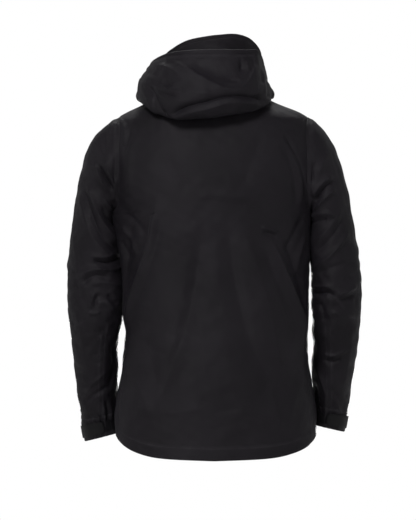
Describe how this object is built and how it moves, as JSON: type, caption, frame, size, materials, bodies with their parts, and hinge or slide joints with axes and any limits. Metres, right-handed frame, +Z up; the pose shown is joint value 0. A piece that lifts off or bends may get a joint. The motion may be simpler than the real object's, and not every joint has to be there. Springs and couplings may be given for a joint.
{
  "type": "hardshell jacket",
  "caption": "Waterproof hardshell jacket in its worn shape, hood stowed behind a stand collar, full front zip, articulated sleeves and a drop-tail hem.",
  "frame": {"origin": "the middle of the neck base, level with the nape seam, where the wearer's or a hanger's shoulders carry the jacket", "axes": "+Z up, the front faces -Y, +X is the wearer's left"},
  "size_m": [0.6123, 0.3225, 0.8832],
  "materials": {
    "shell_fabric": "matte woven face fabric with a light water-repellent sheen",
    "lining_fabric": "matte backer",
    "zip_tape": "coated, semi-matte",
    "moulded_plastic": "fine moulded texture",
    "coated_metal": "satin black coating",
    "hook_and_loop": "hook and loop pile",
    "webbing": "ribbed tape",
    "cord": "braided"
  },
  "bodies": {
    "shell": {"back_panel": "shell_fabric", "left_side_panel": "shell_fabric", "right_side_panel": "shell_fabric", "left_front_panel": "shell_fabric", "right_front_panel": "shell_fabric", "collar_shell": "shell_fabric", "collar_lining": "lining_fabric", "left_sleeve_head": "shell_fabric", "right_sleeve_head": "shell_fabric", "hood_neck_panel": "lining_fabric", "main_zip_tape_left": "zip_tape", "main_zip_teeth_left": "moulded_plastic", "main_zip_tape_right": "zip_tape", "main_zip_teeth_right": "moulded_plastic", "main_zip_retainer_box": "moulded_plastic", "main_zip_insertion_pin": "moulded_plastic", "zip_garage": "shell_fabric", "storm_flap": "lining_fabric", "hem_facing": "lining_fabric", "hem_drawcord": "cord", "hem_left_cord_lock": "moulded_plastic", "hem_right_cord_lock": "moulded_plastic", "hood_left_cord_lock": "moulded_plastic", "hood_right_cord_lock": "moulded_plastic", "left_pocket_zip_tape": "zip_tape", "left_pocket_zip_teeth": "moulded_plastic", "left_pocket_bag": "lining_fabric", "right_pocket_zip_tape": "zip_tape", "right_pocket_zip_teeth": "moulded_plastic", "right_pocket_bag": "lining_fabric", "hang_loop": "webbing"},
    "hood": {"hood_left_panel": "shell_fabric", "hood_centre_panel": "shell_fabric", "hood_right_panel": "shell_fabric", "hood_brim": "shell_fabric"},
    "main_slider": {"main_zip_slider": "coated_metal"},
    "main_pull": {"main_zip_pull": "moulded_plastic"},
    "left_pocket_slider": {"left_pocket_zip_slider": "coated_metal"},
    "left_pocket_pull": {"left_pocket_zip_pull": "moulded_plastic"},
    "left_arm": {"left_upper_sleeve": "shell_fabric", "left_elbow_panel": "shell_fabric"},
    "left_forearm": {"left_lower_sleeve": "shell_fabric", "left_cuff_band": "shell_fabric", "left_cuff_loop_patch": "hook_and_loop"},
    "left_tab": {"left_cuff_tab": "moulded_plastic", "left_cuff_hook_patch": "hook_and_loop"},
    "right_pocket_slider": {"right_pocket_zip_slider": "coated_metal"},
    "right_pocket_pull": {"right_pocket_zip_pull": "moulded_plastic"},
    "right_arm": {"right_upper_sleeve": "shell_fabric", "right_elbow_panel": "shell_fabric"},
    "right_forearm": {"right_lower_sleeve": "shell_fabric", "right_cuff_band": "shell_fabric", "right_cuff_loop_patch": "hook_and_loop"},
    "right_tab": {"right_cuff_tab": "moulded_plastic", "right_cuff_hook_patch": "hook_and_loop"},
    "hem_left_button": {"hem_left_lock_button": "moulded_plastic"},
    "hem_right_button": {"hem_right_lock_button": "moulded_plastic"},
    "hood_left_button": {"hood_left_lock_button": "moulded_plastic"},
    "hood_right_button": {"hood_right_lock_button": "moulded_plastic"}
  },
  "joints": [
    {"name": "main_zip_slide", "type": "slide", "parent": "shell", "child": "main_slider", "axis": [0, -0.0541, -0.9985], "range_m": [0, 0.727]},
    {"name": "main_pull_swing", "type": "hinge", "parent": "main_slider", "child": "main_pull", "pos_m": [0, -0.10906, 0.04553], "axis": [-1, 0, 0], "range_deg": [0, 120]},
    {"name": "left_pocket_zip_slide", "type": "slide", "parent": "shell", "child": "left_pocket_slider", "axis": [0.1524, 0.0191, -0.9881], "range_m": [0, 0.142]},
    {"name": "left_pocket_pull_swing", "type": "hinge", "parent": "left_pocket_slider", "child": "left_pocket_pull", "pos_m": [0.13448, -0.10284, -0.42946], "axis": [-0.7707, -0.6236, -0.1309], "range_deg": [0, 120]},
    {"name": "right_pocket_zip_slide", "type": "slide", "parent": "shell", "child": "right_pocket_slider", "axis": [-0.1055, 0.0192, -0.9942], "range_m": [0, 0.141]},
    {"name": "right_pocket_pull_swing", "type": "hinge", "parent": "right_pocket_slider", "child": "right_pocket_pull", "pos_m": [-0.14677, -0.1023, -0.42969], "axis": [-0.7931, 0.6016, 0.0958], "range_deg": [0, 120]},
    {"name": "left_shoulder", "type": "hinge", "parent": "shell", "child": "left_arm", "pos_m": [0.198, 0, -0.13], "axis": [0, -1, 0], "range_deg": [0, 75], "deforming": ["left_sleeve_head"]},
    {"name": "left_elbow", "type": "hinge", "parent": "left_arm", "child": "left_forearm", "pos_m": [0.2465, -0.008, -0.428], "axis": [-1, 0, 0], "range_deg": [0, 80], "deforming": ["left_elbow_panel"]},
    {"name": "left_cuff_tab_peel", "type": "hinge", "parent": "left_forearm", "child": "left_tab", "pos_m": [0.27627, -0.0885, -0.70161], "axis": [-0.1693, -0.2137, -0.9621], "range_deg": [0, 100]},
    {"name": "right_shoulder", "type": "hinge", "parent": "shell", "child": "right_arm", "pos_m": [-0.193, 0, -0.13], "axis": [0, 1, 0], "range_deg": [0, 75], "deforming": ["right_sleeve_head"]},
    {"name": "right_elbow", "type": "hinge", "parent": "right_arm", "child": "right_forearm", "pos_m": [-0.2555, -0.008, -0.416], "axis": [-1, 0, 0], "range_deg": [0, 80], "deforming": ["right_elbow_panel"]},
    {"name": "right_cuff_tab_peel", "type": "hinge", "parent": "right_forearm", "child": "right_tab", "pos_m": [-0.2772, -0.08791, -0.6816], "axis": [-0.1682, 0.2145, 0.9621], "range_deg": [0, 100]},
    {"name": "hood_lift", "type": "hinge", "parent": "shell", "child": "hood", "pos_m": [0, -0.095, 0], "axis": [1, 0, 0], "range_deg": [0, 62], "deforming": ["hood_neck_panel"]},
    {"name": "hem_left_button_press", "type": "slide", "parent": "shell", "child": "hem_left_button", "axis": [-0.0183, -0.0441, -0.9989], "range_m": [0, 0.003], "stiffness_N_per_m": 600, "springref_m": -0.0015},
    {"name": "hem_right_button_press", "type": "slide", "parent": "shell", "child": "hem_right_button", "axis": [-0.0175, -0.0441, -0.9989], "range_m": [0, 0.003], "stiffness_N_per_m": 600, "springref_m": -0.0015},
    {"name": "hood_left_button_press", "type": "slide", "parent": "shell", "child": "hood_left_button", "axis": [0.2324, -0.0445, -0.9716], "range_m": [0, 0.003], "stiffness_N_per_m": 600, "springref_m": -0.0015},
    {"name": "hood_right_button_press", "type": "slide", "parent": "shell", "child": "hood_right_button", "axis": [-0.2009, -0.0449, -0.9786], "range_m": [0, 0.003], "stiffness_N_per_m": 600, "springref_m": -0.0015}
  ]
}
